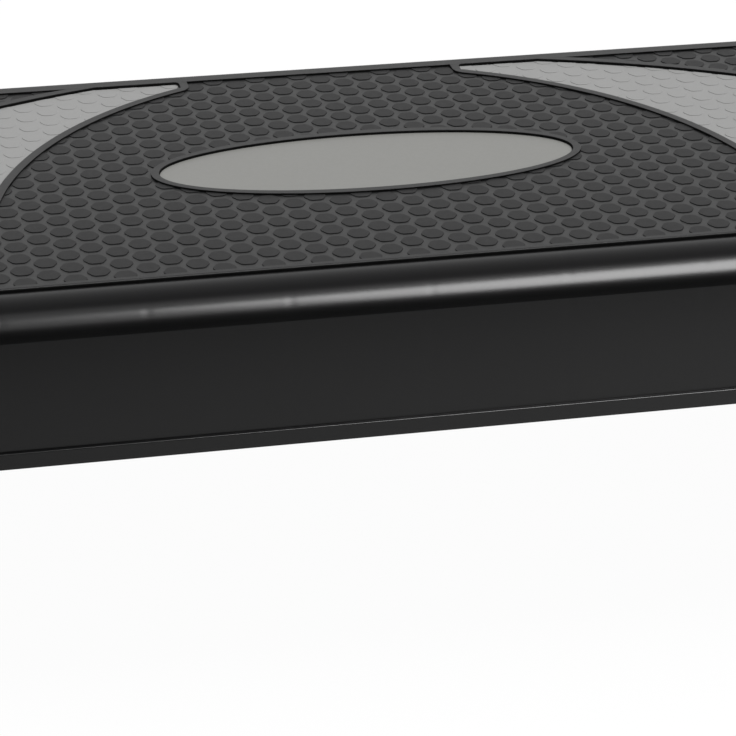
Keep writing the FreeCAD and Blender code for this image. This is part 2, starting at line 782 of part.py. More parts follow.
def cap_screws():
    """All eight screws as one group of separate solids."""
    screw = cap_screw()
    second = mirror_piece(screw, "second_screw", ALONG_X, HINGE_X)
    pair = combine("Part::Compound", "screw_pair", screw, second)
    right = combine("Part::Compound", "right_screws", pair, mirror_piece(pair, "rear_screws", ALONG_Y))
    return combine("Part::Compound", "hinge_cap_screws", right, mirror_piece(right, "left_screws", ALONG_X))


def build():
    """Every piece of the step, in assembly order."""
    pieces = [deck_shell(), tread_mat(), *tread_inlays(), badge_plate()]
    pieces += both_sides(hinge_rod())
    pieces += four_corners(hinge_cap())
    pieces.append(cap_screws())
    pieces += both_sides(leg_frame())
    for setting in STRIPS:
        pieces += four_corners(foot_strip(setting))
    doc.recompute()
    return pieces


def write(pieces):
    """Check the whole document, then write each piece to its own file."""
    for item in doc.Objects:
        if {"Invalid", "Error"} & set(item.State):
            raise RuntimeError(f"{item.Label} failed: {item.State}")
    for piece in pieces:
        if piece.Shape.isNull() or not piece.Shape.isValid():
            raise RuntimeError(f"{piece.Label} has no valid shape")
    os.makedirs("parts", exist_ok=True)
    for piece in pieces:
        piece.Shape.exportStep(f"parts/{piece.Label}.step")
        print(piece.Label, len(piece.Shape.Solids), round(piece.Shape.Volume), piece.Shape.BoundBox)


write(build())
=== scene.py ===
"""An adjustable exercise step: a moulded shell with a studded rubber tread on two fold-over legs.

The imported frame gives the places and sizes. Each operator dresses one piece or one group of like pieces.
"""

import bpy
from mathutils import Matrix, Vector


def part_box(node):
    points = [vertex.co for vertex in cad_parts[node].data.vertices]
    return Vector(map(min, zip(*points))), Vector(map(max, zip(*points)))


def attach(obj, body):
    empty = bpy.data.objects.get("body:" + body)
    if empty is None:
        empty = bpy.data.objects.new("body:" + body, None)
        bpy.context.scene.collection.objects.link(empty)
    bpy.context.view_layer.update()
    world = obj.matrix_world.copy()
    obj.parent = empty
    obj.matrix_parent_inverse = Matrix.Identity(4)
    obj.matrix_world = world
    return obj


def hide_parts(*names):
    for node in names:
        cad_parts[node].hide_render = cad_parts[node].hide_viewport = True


bl_info = {
    "name": "Exercise Step",
    "version": (1, 0, 0),
    "blender": (4, 5, 0),
    "location": "View3D > Sidebar > Step",
    "description": "Dresses the frame of an adjustable exercise step",
    "category": "Object",
}

import math

import bmesh
import bpy
from bpy.props import FloatProperty, FloatVectorProperty, PointerProperty
from mathutils import Matrix, Vector

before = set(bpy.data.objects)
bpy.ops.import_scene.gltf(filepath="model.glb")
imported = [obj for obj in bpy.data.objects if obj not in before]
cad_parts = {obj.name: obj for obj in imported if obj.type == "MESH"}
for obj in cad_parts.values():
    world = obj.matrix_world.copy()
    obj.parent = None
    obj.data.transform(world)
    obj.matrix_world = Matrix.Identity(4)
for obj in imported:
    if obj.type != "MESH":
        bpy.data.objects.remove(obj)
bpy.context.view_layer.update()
MAT_LOW, MAT_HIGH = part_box("tread_mat")
BADGE_LOW, BADGE_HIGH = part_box("badge_plate")
INLAY_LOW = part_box("right_tread_inlay")[0]

SIDES = {"right": 1, "left": -1}
ENDS = ("front", "rear")
SETTINGS = ("high", "middle", "low")

# The picture's side in pixels, and the camera's sensor and clipping.
IMAGE_SIDE = 736
SENSOR = 36.0
CLIP_START, CLIP_END = 0.05, 50

# How finely arcs, bevels, turned pieces and crowns are divided, and which edges stay soft.
ARC_STEP = math.radians(1.5)
BEVEL_STEPS = 2
TURN_STEPS = 32
CROWN_STEPS = 6
SOFT_ANGLE = math.radians(40)

# What counts as one place, as in line and as on the mat's edge.
SAME_PLACE = 1e-6
IN_LINE = 1e-6
ON_EDGE = 1e-5

# A pad this far under the badge, or cut down to this little, is left out.
UNDER_BADGE_SHARE = 0.8
LEAST_PAD_SHARE = 0.06

# Steps of a pad's rounded edge, as shares of its rounding: inwards, and down from the top.
PAD_EDGE_SHARES = ((0.2, 1.0), (0.5, 0.3), (1.2, 0.0))

# Faces of a plate whose normals rise less than this are its walls.
WALL_LEAN = 0.3

# A screw's cross recess narrows to this share at its bottom.
RECESS_TAPER_SHARE = 0.55

# Noise of every material, the depth of the ribs' marks on the shell, and how uneven its roughness is.
NOISE_DETAIL, NOISE_ROUGHNESS = 3.0, 0.55
RIB_MARK_DEPTH = 0.00004
SHELL_SMOOTHER, SHELL_ROUGHER = 0.02, 0.03

# The stage, in metres: the floor, and the lamps' places, sizes and aims.
FLOOR_REACH = 6.0
FLOOR_COLOUR = (0.9, 0.9, 0.9, 1)
FLOOR_WHITE_SHARE = 0.97
WHITE = (1, 1, 1, 1)
KEY_PLACE, KEY_AIM, KEY_SPREAD = (1.0, 0.15, 1.2), (0, 0, 0), math.radians(35)
BOX_AIM = (0, -0.1, 0.19)
SOFTBOX_PLACE, SOFTBOX_SIZE = (0.833, -1.235, 1.219), (1.4, 0.78)
HEM_LIGHT_PLACE, HEM_LIGHT_SIZE = (0.35, -0.65, 1.7), (1.4, 0.5)

# Cards that only reflections see: two opposite corners, the strength, and a fade's axis and far strength.
CARDS = {
    "front_card": ((-2.5, -0.57, 0.001), (2.5, -0.57, 0.2), 0.02, None),
    "low_card": ((-3, -1.7, 0.001), (3, -1.7, 0.75), 0.02, None),
    "top_card": ((-2, -0.75, 1.7), (2, -0.5, 1.7), 0.2, None),
    "back_card": ((-2, -0.5, 1.7), (2, 2.5, 1.7), 0.2, ("Y", 1.5)),
    "floor_card": ((-0.6, -0.57, 0.002), (0.6, 0.1, 0.002), 0.42, ("X", 1.14)),
}


def length(name, default, description):
    """A length that a user may change, in metres."""
    return FloatProperty(name=name, description=description, default=default, min=0.0, unit="LENGTH",
                         precision=5)


def angle(name, degrees, description):
    """An angle that a user may change."""
    return FloatProperty(name=name, description=description, default=math.radians(degrees),
                         subtype="ANGLE")


def share(name, default, description):
    """A share from 0 to 1 that a user may change."""
    return FloatProperty(name=name, description=description, default=default, min=0.0, max=1.0,
                         subtype="FACTOR")


def colour(name, default, description):
    """A linear colour that a user may change."""
    return FloatVectorProperty(name=name, description=description, default=default, size=3, min=0.0,
                               max=1.0, subtype="COLOR")


def power(name, default, description):
    """The power of a lamp that a user may change, in watts."""
    return FloatProperty(name=name, description=description, default=default, unit="POWER")


class TreadSizes(bpy.types.PropertyGroup):
    """Sizes of the rubber tread, its grey inlays and the badge oval."""
    border: length("Border", 0.0074, "Width of the raised border at the back and the ends")
    front_border: length("Front border", 0.0032, "Width of the raised border at the front")
    dome_band: length("Dome band", 0.0044, "Width of the raised band between the dark field and an inlay")
    outer_band: length("Outer band", 0.0045, "Width of the raised band on the far side of an inlay")
    ring: length("Ring", 0.004, "Width of the raised ring round the badge oval")
    floor_top: length("Floor", 0.0017, "Height of the tread's floor above its seat")
    band_round: length("Band edge", 0.0002, "Rounding of the raised bands' edges")
    hem_round: length("Hem edge", 0.0009, "Rounding of the mat's outer edge")
    hem_width: length("Hem width", 0.0022, "Width of the mat's outer hem")
    hem_lap: length("Hem lap", 0.0012, "How far the raised bands start inside the mat's outer edge")
    hem_drop: length("Hem drop", 0.00001, "How far the hem lies below the bands' tops")
    dome_radius: length("Dome radius", 0.2037, "Radius of the dark field's sides")
    dome_depth: length("Dome depth", 0.1965, "From the back border to the middles of the dark field's sides")
    dome_cross: length("Dome cross", 0.013, "From the tread's middle to the middle of each round side")
    flank_rise: length("Flank rise", 0.0394, "Where a round side runs out straight, behind its own middle")
    tip_reach: length("Tip reach", 0.0712, "Half width of the dark field at the back")
    tip_round: length("Tip rounding", 0.003, "Rounding of an inlay's blunt tip at the back border")
    tip_notch: length("Tip notch", 0.0008, "Rounding of an inlay's blunt tip at the dome band")
    tip_band_round: length("Tip band rounding", 0.008, "Rounding of the band outside an inlay's tip")
    sweep_radius: length("Sweep radius", 0.443, "Radius of an inlay's far side")
    sweep_start: length("Sweep start", 0.120, "Where an inlay's far side leaves the back border")
    sweep_end: length("Sweep end", 0.055, "Where an inlay's far side meets the end border")
    row_pitch: length("Row pitch", 0.01339, "Distance between the pads of one column")
    column_pitch: length("Column pitch", 0.01128, "Distance between the columns of pads")
    pad_radius: length("Pad radius", 0.0058, "Middle to corner of a hexagon pad")
    pad_corner: length("Pad corner", 0.001, "Length cut off each corner of a pad")
    pad_height: length("Pad height", 0.00039, "Height of a black pad above the floor")
    shift: FloatVectorProperty(name="Pad shift", description="Place of the middle pad",
                               default=(-0.00097, 0.00304), size=2, unit="LENGTH", precision=5)
    pad_edge: length("Pad edge", 0.00018, "Rounding of a pad's top edge")
    pad_sink: length("Pad root", 0.0002, "How far a pad is rooted in the floor")
    under_band: length("Overlap", 0.0012, "How far the floor and the cut pads run into a raised band")
    inlay_floor: length("Inlay floor", 0.0014, "Height of an inlay's floor above its seat")
    inlay_pad: length("Inlay pad", 0.0002, "Height of an inlay's pads above its floor")
    inlay_gap: length("Inlay gap", 0.0002, "Gap round an inlay")
    badge_gap: length("Badge gap", 0.0002, "Gap round the badge oval")
    badge_top: length("Badge height", 0.0017, "Height of the badge oval above its seat")
    badge_edge: length("Badge edge", 0.0004, "Rounding of the badge oval's edge")


class FittingSizes(bpy.types.PropertyGroup):
    """Sizes of the foot strips' ribs, the cap screws and the marks of the deck's ribs on the shell."""
    grip_pitch: length("Grip pitch", 0.003, "Distance between the ribs of a foot strip")
    grip_depth: length("Grip depth", 0.0009, "Depth of the grooves between the ribs of a foot strip")
    grip_root: length("Grip root", 0.0022, "Width of a foot strip's rib at its root")
    grip_tip: length("Grip tip", 0.0013, "Width of a foot strip's rib at its tip")
    grip_edge: length("Grip edge", 0.0005, "Bevel along the edges of a foot strip")
    screw_spread: length("Screw spread", 0.0125, "From the middle of a hinge cap to a screw")
    screw_shank: length("Screw shank", 0.00175, "Radius of a screw's shank")
    screw_head: length("Screw head", 0.0035, "Radius of a screw's head")
    screw_head_height: length("Screw head height", 0.0024, "Height of a screw's head")
    recess_reach: length("Recess reach", 0.0019, "Half length of a screw's cross recess")
    recess_width: length("Recess width", 0.0008, "Width of the arms of a screw's cross recess")
    recess_depth: length("Recess depth", 0.0013, "Depth of a screw's cross recess")
    rib_pitch: length("Rib pitch", 0.065, "Distance between the ribs behind the shell's skirt")
    rib_mark: length("Rib mark", 0.0035, "Half width of the mark that a rib leaves on the shell")


class StepFinish(bpy.types.PropertyGroup):
    """Colours and gloss of the pieces."""
    shell: colour("Shell", (0.0036, 0.0036, 0.0038), "Moulded black shell")
    shell_roughness: share("Shell roughness", 0.235, "Roughness of the moulded shell")
    rubber: colour("Tread", (0.010, 0.010, 0.0102), "Black tread rubber")
    # The walls' colour is darker than the tread rubber's own: painted shade, so the bands' walls read black.
    wall: colour("Tread walls", (0.003, 0.003, 0.003), "Deep black of the bands' walls")
    inlay: colour("Inlay", (0.247, 0.247, 0.244), "Grey inlay rubber")
    badge: colour("Badge", (0.175, 0.175, 0.165), "Satin grey badge oval")
    leg: colour("Leg", (0.0085, 0.0085, 0.0088), "Grained black leg plastic")
    foot: colour("Foot", (0.018, 0.018, 0.0183), "Grip rubber of the foot strips")
    steel: colour("Steel", (0.52, 0.52, 0.53), "Zinc-plated steel")


class StageSettings(bpy.types.PropertyGroup):
    """The camera, the lights and the floor."""
    eye: FloatVectorProperty(name="Eye", description="Place of the camera",
                             default=(-0.2850, -1.2736, 0.7323), size=3, subtype="TRANSLATION")
    yaw: angle("Yaw", 12.716, "Turn of the camera to the right of straight on")
    tilt: angle("Tilt", 26.477, "Tilt of the camera below the horizon")
    roll: angle("Roll", 0.823, "Roll of the camera")
    focal: FloatProperty(name="Focal length", description="Focal length in pixels of the picture",
                         default=2840.4)
    softbox_power: power("Softbox", 51.0, "Power of the softbox that glints on the shell")
    hem_power: power("Hem light", 33.0, "Power of the light on the mat's hem")
    key: FloatProperty(name="Key", description="Strength of the key light", default=4.0)
    sky: FloatProperty(name="Fill", description="Strength of the even fill light", default=0.32)


def plane_vector(x, y):
    """A point of a flat outline."""
    return Vector((x, y))


def onward(items):
    """A closed row that starts at its second item, so that each item meets the next one."""
    return items[1:] + items[:1]


def arc(centre, start, end, turn=1):
    """Points along a circle from start to end; turn is 1 counter-clockwise and -1 clockwise."""
    first = math.atan2(start.y - centre.y, start.x - centre.x)
    last = math.atan2(end.y - centre.y, end.x - centre.x)
    sweep = turn * ((turn * (last - first)) % math.tau)
    radius = (start - centre).length
    steps = max(3, math.ceil(abs(sweep) / ARC_STEP))
    turns = [first + sweep * step / steps for step in range(steps + 1)]
    return [centre + radius * plane_vector(math.cos(a), math.sin(a)) for a in turns]


def arc_centre(start, end, radius):
    """Middle of the circle whose shorter arc runs counter-clockwise from start to end."""
    chord = end - start
    rise = math.sqrt(radius ** 2 - chord.length_squared / 4)
    return (start + end) / 2 + rise * plane_vector(-chord.y, chord.x).normalized()


def fillet(before, corner, after, radius):
    """Points that round one corner of an outline."""
    back = (before - corner).normalized()
    on = (after - corner).normalized()
    half = back.angle(on) / 2
    reach = radius / math.tan(half)
    centre = corner + (back + on).normalized() * radius / math.sin(half)
    turn = 1 if (corner - before).cross(after - corner) > 0 else -1
    return arc(centre, corner + back * reach, corner + on * reach, turn)


def rounded_oblong(half_x, half_y, radius):
    """Outline of an oblong with round corners, counter-clockwise."""
    points = []
    for sx, sy in ((1, -1), (1, 1), (-1, 1), (-1, -1)):
        centre = plane_vector(sx * (half_x - radius), sy * (half_y - radius))
        along_x = centre + plane_vector(sx * radius, 0)
        along_y = centre + plane_vector(0, sy * radius)
        start, end = (along_y, along_x) if sx * sy < 0 else (along_x, along_y)
        points += arc(centre, start, end)
    return points


def oval(middle, half):
    """Outline of an ellipse round its middle."""
    steps = math.ceil(math.tau / ARC_STEP)
    turns = [math.tau * step / steps for step in range(steps)]
    return [middle + plane_vector(half.x * math.cos(a), half.y * math.sin(a)) for a in turns]


def flipped(points, side):
    """An outline for the right side, mirrored for the left one."""
    return [plane_vector(side * p.x, p.y) for p in points]


def circle_at_y(centre, radius, y):
    """The right-hand point of a circle at a height of the plan."""
    return plane_vector(centre.x + math.sqrt(radius ** 2 - (y - centre.y) ** 2), y)


def circle_at_x(centre, radius, x):
    """The upper point of a circle at a place along the plan."""
    return plane_vector(x, centre.y + math.sqrt(radius ** 2 - (x - centre.x) ** 2))


def round_wall(middle, centre, radius, way):
    """A round wall next to a place; way is -1 for a field inside it and 1 for one outside it."""
    out = (middle - centre).normalized()
    return centre + out * radius, out * way


class TreadPlan:
    """The flat outlines of the tread, worked out from the frame and the tread's sizes.

    Those of a side are given for the right one. A wall is a place on it and the way into the field.
    """

    def __init__(self, sizes):
        self.sizes = sizes
        self.half_x, self.half_y = MAT_HIGH.x, MAT_HIGH.y
        self.field_x = self.half_x - sizes.border
        self.field_y = self.half_y - sizes.border
        self.field_front = self.half_y - sizes.front_border
        self.corner = self.corner_radius()
        self.field_corner = self.corner - sizes.border
        self.dome_centre = plane_vector(-sizes.dome_cross, self.field_y - sizes.dome_depth)
        rise = math.asin(sizes.flank_rise / sizes.dome_radius)
        self.flank_out = plane_vector(math.cos(rise), math.sin(rise))
        self.flank_on = plane_vector(math.sin(rise), -math.cos(rise))
        self.tip = circle_at_x(self.dome_centre, sizes.dome_radius, sizes.tip_reach)
        self.sweep_first = plane_vector(self.field_x, -sizes.sweep_end)
        self.sweep_last = plane_vector(sizes.sweep_start, self.field_y)
        self.sweep_centre = arc_centre(self.sweep_first, self.sweep_last, sizes.sweep_radius)
        self.badge_middle = ((BADGE_LOW + BADGE_HIGH) / 2).xy
        self.badge_half = ((BADGE_HIGH - BADGE_LOW) / 2).xy

    def corner_radius(self):
        """Corner radius of the mat, read from where its straight front ends."""
        spots = [v.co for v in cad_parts["tread_mat"].data.vertices]
        return self.half_x - max(spot.x for spot in spots if spot.y < MAT_LOW.y + ON_EDGE)

    def flank(self, radius, front):
        """Where the dome's side at a radius runs out straight, and where that meets the front."""
        start = self.dome_centre + self.flank_out * radius
        return start, start - self.flank_on * (start.y + front) / self.flank_on.y

    def mat(self, inset=0.0):
        """Outside of the mat, or an outline inside it."""
        return rounded_oblong(self.half_x - inset, self.half_y - inset, self.corner - inset)

    def dark_field(self):
        """The dark middle of the tread."""
        start, end = self.flank(self.sizes.dome_radius, self.field_front)
        top = plane_vector(self.tip.x, self.field_y)
        side = [p for p in arc(self.dome_centre, start, self.tip)
                if (p - self.tip).length > self.sizes.tip_band_round]
        right = [end, *side, *fillet(side[-1], self.tip, top, self.sizes.tip_band_round), top]
        return right + flipped(reversed(right), -1)

    def inlay_field(self, gap=0.0):
        """The opening of the right inlay, or the inlay itself with a gap."""
        band = self.sizes.dome_band + gap
        radius = self.sizes.dome_radius + band
        sweep = self.sizes.sweep_radius - gap
        corner = self.field_corner - gap
        front, back, end_x = self.field_front - gap, self.field_y - gap, self.field_x - gap
        tip_x = self.sizes.tip_reach + band
        flank, start = self.flank(radius, front)
        tip_low = circle_at_x(self.dome_centre, radius, tip_x)
        tip_high = plane_vector(tip_x, back)
        bend = circle_at_x(self.sweep_centre, sweep, end_x)
        leave = circle_at_y(self.sweep_centre, sweep, back)
        turn = plane_vector(end_x - corner, corner - front)
        side = arc(self.dome_centre, tip_low, flank, -1)
        points = [start] + arc(turn, plane_vector(turn.x, -front), plane_vector(end_x, turn.y))
        points += arc(self.sweep_centre, bend, leave)
        points += fillet(leave, tip_high, tip_low, self.sizes.tip_round)
        points += fillet(tip_high, tip_low, side[1], self.sizes.tip_notch)
        return points + side[1:]

    def corner_field(self):
        """The black field in the right back corner."""
        radius = self.sizes.sweep_radius + self.sizes.outer_band
        first = circle_at_x(self.sweep_centre, radius, self.field_x)
        last = circle_at_y(self.sweep_centre, radius, self.field_y)
        turn = plane_vector(self.field_x - self.field_corner, self.field_y - self.field_corner)
        points = arc(turn, plane_vector(self.field_x, turn.y), plane_vector(turn.x, self.field_y))
        return points + arc(self.sweep_centre, last, first, -1)

    def badge(self, grow=0.0):
        """The badge oval, or an outline round it."""
        return oval(self.badge_middle, self.badge_half + plane_vector(grow, grow))

    def past_dome(self, middle):
        """How far a place lies outside the dark field's side."""
        away = middle - self.dome_centre
        reach = away.dot(self.flank_out) if away.dot(self.flank_on) > 0 else away.length
        return reach - self.sizes.dome_radius

    def past_sweep(self, middle):
        """How far a place lies outside an inlay's far side."""
        return (middle - self.sweep_centre).length - self.sizes.sweep_radius

    def badge_share(self, middle, grow=0.0):
        """How far out a place lies, as a share of the badge or of an outline round it."""
        half = self.badge_half + plane_vector(grow, grow)
        away = middle - self.badge_middle
        return math.hypot(away.x / half.x, away.y / half.y)

    def dome_wall(self, middle, radius, way):
        """The dome's side next to a place; way is -1 for the dark field and 1 for an inlay."""
        away = middle - self.dome_centre
        out = self.flank_out if away.dot(self.flank_on) > 0 else away.normalized()
        return self.dome_centre + out * radius, out * way

    def ring_wall(self, middle, grow):
        """The wall of the ring round the badge next to a place."""
        half = self.badge_half + plane_vector(grow, grow)
        away = middle - self.badge_middle
        out = plane_vector(away.x / half.x ** 2, away.y / half.y ** 2)
        return self.badge_middle + away / self.badge_share(middle, grow), out.normalized()

    def edge_walls(self, slack):
        """The border's walls at the end, the back and the front, moved outwards by some slack."""
        return [(plane_vector(self.field_x + slack, 0), plane_vector(-1, 0)),
                (plane_vector(0, self.field_y + slack), plane_vector(0, -1)),
                (plane_vector(0, -self.field_front - slack), plane_vector(0, 1))]

    def corner_wall(self, middle, way, edge, slack):
        """The round corner of the border at the back or the front, for pads that lie in it."""
        turn = plane_vector(self.field_x - self.field_corner, way * (edge - self.field_corner))
        if middle.x > turn.x and way * (middle.y - turn.y) > 0:
            return [round_wall(middle, turn, self.field_corner + slack, -1)]
        return []

    def dark_walls(self, middle):
        """What cuts a pad of the dark field."""
        slack = self.sizes.under_band
        ring = self.sizes.badge_gap + self.sizes.ring - slack
        walls = self.edge_walls(slack) + [self.ring_wall(middle, ring)]
        if middle.y > self.tip.y and middle.x < self.tip.x + self.sizes.dome_band:
            return walls + [(plane_vector(self.tip.x + slack, 0), plane_vector(-1, 0))]
        return walls + [self.dome_wall(middle, self.sizes.dome_radius + slack, -1)]

    def inlay_walls(self, middle):
        """What cuts a pad of an inlay."""
        inset = self.sizes.inlay_gap + self.sizes.pad_edge
        band = self.sizes.dome_band + inset
        walls = self.edge_walls(-inset) + self.corner_wall(middle, -1, self.field_front, -inset)
        walls.append((plane_vector(self.tip.x + band, 0), plane_vector(1, 0)))
        walls.append(self.dome_wall(middle, self.sizes.dome_radius + band, 1))
        return walls + [round_wall(middle, self.sweep_centre, self.sizes.sweep_radius - inset, -1)]

    def corner_walls(self, middle):
        """What cuts a pad of a back corner."""
        slack = self.sizes.under_band
        radius = self.sizes.sweep_radius + self.sizes.outer_band - slack
        walls = self.edge_walls(slack) + self.corner_wall(middle, 1, self.field_y, slack)
        return walls + [round_wall(middle, self.sweep_centre, radius, 1)]


def cut_polygon(points, walls):
    """The part of a convex outline inside every wall."""
    for place, inward in walls:
        depths = [(p - place).dot(inward) for p in points]
        kept = []
        for here, after, a, b in zip(points, onward(points), depths, onward(depths)):
            if a >= 0:
                kept.append(here)
            if a * b < 0:
                kept.append(here.lerp(after, a / (a - b)))
        points = kept
        if len(points) < 3:
            return []
    return points


def polygon_area(points):
    """Area of a flat outline."""
    return sum(a.cross(b) for a, b in zip(points, onward(points))) / 2


def shrunk(points, distance):
    """A convex outline moved inwards by a distance."""
    sides = []
    for a, b in zip(points, onward(points)):
        along = (b - a).normalized()
        sides.append((a + distance * plane_vector(-along.y, along.x), along))
    corners = []
    for (p, along), (q, on) in zip(sides[-1:] + sides[:-1], sides):
        spread = along.cross(on)
        corners.append(q if abs(spread) < IN_LINE else p + along * (q - p).cross(on) / spread)
    return corners


def hexagon(middle, radius, corner):
    """A hexagon with two sides along X and its corners cut off."""
    turns = [math.tau * step / 6 for step in range(6)]
    tips = [middle + radius * plane_vector(math.cos(a), math.sin(a)) for a in turns]
    points = []
    for before, tip, after in zip(tips[-1:] + tips[:-1], tips, onward(tips)):
        points.append(tip + (before - tip).normalized() * corner)
        points.append(tip + (after - tip).normalized() * corner)
    return points


def without_doubles(points, least):
    """An outline without points that lie on each other."""
    kept = []
    for point in points:
        if not kept or (point - kept[-1]).length > least:
            kept.append(point)
    if len(kept) > 1 and (kept[0] - kept[-1]).length <= least:
        kept.pop()
    return kept


def bridge(mesh, rings):
    """Adds faces between closed rings of points that follow one another."""
    for ring, after in zip(rings, rings[1:]):
        for corners in zip(ring, onward(ring), onward(after), after):
            mesh.faces.new(corners)


def add_pad(mesh, points, low, high, edge):
    """Adds one closed pad with a rounded top edge to a bmesh."""
    levels = [(0.0, low)] + [(edge * inward, high - edge * down) for inward, down in PAD_EDGE_SHARES]
    rings = [[mesh.verts.new((p.x, p.y, z)) for p in shrunk(points, inset)] for inset, z in levels]
    bridge(mesh, rings)
    mesh.faces.new(list(reversed(rings[0])))
    mesh.faces.new(rings[-1])


def linked(name, data):
    """A new object in the scene."""
    made = bpy.data.objects.new(name, data)
    bpy.context.scene.collection.objects.link(made)
    return made


def final_mesh(shape):
    """The mesh that a curve, or a mesh with modifiers, ends up as; the shape itself is taken away."""
    bpy.context.view_layer.update()
    data = bpy.data.meshes.new_from_object(shape.evaluated_get(bpy.context.evaluated_depsgraph_get()))
    bpy.data.objects.remove(shape)
    return data


def finish_mesh(name, mesh, materials):
    """Turns a bmesh into an object with soft shading over small angles."""
    data = bpy.data.meshes.new(name)
    mesh.to_mesh(data)
    mesh.free()
    return finish_data(name, data, materials)


def finish_data(name, data, materials):
    """Links a mesh as an object with soft shading over small angles."""
    data.shade_smooth()
    data.set_sharp_from_angle(angle=SOFT_ANGLE)
    for material in materials:
        data.materials.append(material)
    made = linked(name, data)
    made.modifiers.new("even_shading", "WEIGHTED_NORMAL").keep_sharp = True
    return made


def plate(name, outlines, low, high, edge, materials):
    """A flat plate between two heights, with holes and rounded edges, from closed outlines.

    A second material goes on its walls.
    """
    curve = bpy.data.curves.new(name, "CURVE")
    curve.dimensions = "2D"
    curve.fill_mode = "BOTH"
    curve.bevel_depth = edge
    curve.bevel_resolution = BEVEL_STEPS
    curve.offset = -edge
    curve.extrude = (high - low) / 2 - edge
    for outline in outlines:
        line = curve.splines.new("POLY")
        line.points.add(len(outline) - 1)
        for spot, point in zip(line.points, outline):
            spot.co = (point.x, point.y, 0, 1)
        line.use_cyclic_u = True
    data = final_mesh(linked(name + "_outline", curve))
    bpy.data.curves.remove(curve)
    data.name = name
    data.transform(Matrix.Translation((0, 0, (low + high) / 2)))
    mesh = bmesh.new()
    mesh.from_mesh(data)
    bmesh.ops.remove_doubles(mesh, verts=mesh.verts, dist=SAME_PLACE)
    bmesh.ops.recalc_face_normals(mesh, faces=mesh.faces)
    for face in mesh.faces:
        # Wall faces take the second material; on the tread that is a darker copy of the rubber, which is
        # painted shade.
        face.material_index = int(len(materials) > 1 and abs(face.normal.z) < WALL_LEAN)
    mesh.to_mesh(data)
    mesh.free()
    return finish_data(name, data, materials)


def joined(name, pieces):
    """Joins pieces into the first of them."""
    with bpy.context.temp_override(active_object=pieces[0], selected_editable_objects=pieces):
        bpy.ops.object.join()
    pieces[0].name = name
    pieces[0].data.name = name
    return pieces[0]


def add_node(tree, kind, inputs=None, **settings):
    """Adds a node; an input is a value or the output that feeds it."""
    made = tree.nodes.new(kind)
    for key, value in settings.items():
        setattr(made, key, value)
    for socket, value in (inputs or {}).items():
        if isinstance(value, bpy.types.NodeSocket):
            tree.links.new(value, made.inputs[socket])
        else:
            made.inputs[socket].default_value = value
    return made


def feed(tree, kind, *values, **settings):
    """Adds a node whose first inputs are given in order; returns its first output."""
    return add_node(tree, kind, dict(enumerate(values)), **settings).outputs[0]


def object_place(tree):
    """Place on the piece, in metres."""
    return add_node(tree, "ShaderNodeTexCoord").outputs["Object"]


def spread(tree, value, low, high):
    """Spreads a value from 0..1 over low..high."""
    limits = {"Value": value, "To Min": low, "To Max": high}
    return add_node(tree, "ShaderNodeMapRange", limits).outputs["Result"]


def noise(tree, place, scale):
    """Even noise at a scale, in cycles per metre."""
    inputs = {"Vector": place, "Scale": scale, "Detail": NOISE_DETAIL, "Roughness": NOISE_ROUGHNESS}
    return add_node(tree, "ShaderNodeTexNoise", inputs).outputs["Fac"]


def grain(tree, shader, place, scale, depth, strength):
    """A fine grain as bump."""
    inputs = {"Height": noise(tree, place, scale), "Distance": depth, "Strength": strength}
    bump = add_node(tree, "ShaderNodeBump", inputs, name="grain")
    tree.links.new(bump.outputs["Normal"], shader.inputs["Normal"])


def mottle(tree, shader, place, base, scale, share_of_base):
    """Slight variation of a colour over the piece."""
    low, high = ((*(c * (1 + way * share_of_base) for c in base), 1) for way in (-1, 1))
    inputs = {"Factor": noise(tree, place, scale), "A": low, "B": high}
    mix = add_node(tree, "ShaderNodeMix", inputs, data_type="RGBA")
    tree.links.new(mix.outputs["Result"], shader.inputs["Base Color"])


def surface(name, base, roughness, mottle_scale, mottle_share, grain_scale, grain_depth, grain_strength,
            rough_scale=None, rough_low=None, rough_high=None, gloss=0.5, metallic=0.0):
    """A material with mottled colour, uneven roughness and a fine grain; scales are in cycles per metre."""
    material = bpy.data.materials.new(name)
    material.use_nodes = True
    tree = material.node_tree
    shader = tree.nodes["Principled BSDF"]
    even = {"Base Color": (*base, 1), "Roughness": roughness, "Specular IOR Level": gloss,
            "Metallic": metallic}
    for socket, value in even.items():
        shader.inputs[socket].default_value = value
    place = object_place(tree)
    mottle(tree, shader, place, base, mottle_scale, mottle_share)
    if rough_scale:
        rough = spread(tree, noise(tree, place, rough_scale), rough_low, rough_high)
        tree.links.new(rough, shader.inputs["Roughness"])
    grain(tree, shader, place, grain_scale, grain_depth, grain_strength)
    return material


def rib_marks(tree, sizes):
    """1 on the faint marks that the ribs leave on the shell, and 0 between them."""
    split = add_node(tree, "ShaderNodeSeparateXYZ", {"Vector": object_place(tree)})
    away = feed(tree, "ShaderNodeMath", split.outputs["X"], sizes.rib_pitch / 2, operation="PINGPONG")
    limits = {"Value": away, "From Max": sizes.rib_mark, "To Min": 1.0, "To Max": 0.0}
    mark = add_node(tree, "ShaderNodeMapRange", limits, interpolation_type="SMOOTHSTEP")
    return mark.outputs["Result"]


def shell_plastic(finish, sizes):
    """Satin-gloss moulded plastic with the faint marks that the ribs leave on it."""
    rough = finish.shell_roughness
    material = surface("shell_plastic", finish.shell, rough, gloss=0.36, mottle_scale=14.0, mottle_share=0.12,
                       rough_scale=9.0, rough_low=rough - SHELL_SMOOTHER, rough_high=rough + SHELL_ROUGHER,
                       grain_scale=2600.0, grain_depth=0.00001, grain_strength=0.35)
    tree = material.node_tree
    inputs = {"Height": rib_marks(tree, sizes), "Distance": RIB_MARK_DEPTH}
    marks = add_node(tree, "ShaderNodeBump", inputs, invert=True)
    tree.links.new(marks.outputs["Normal"], tree.nodes["grain"].inputs["Normal"])
    return material


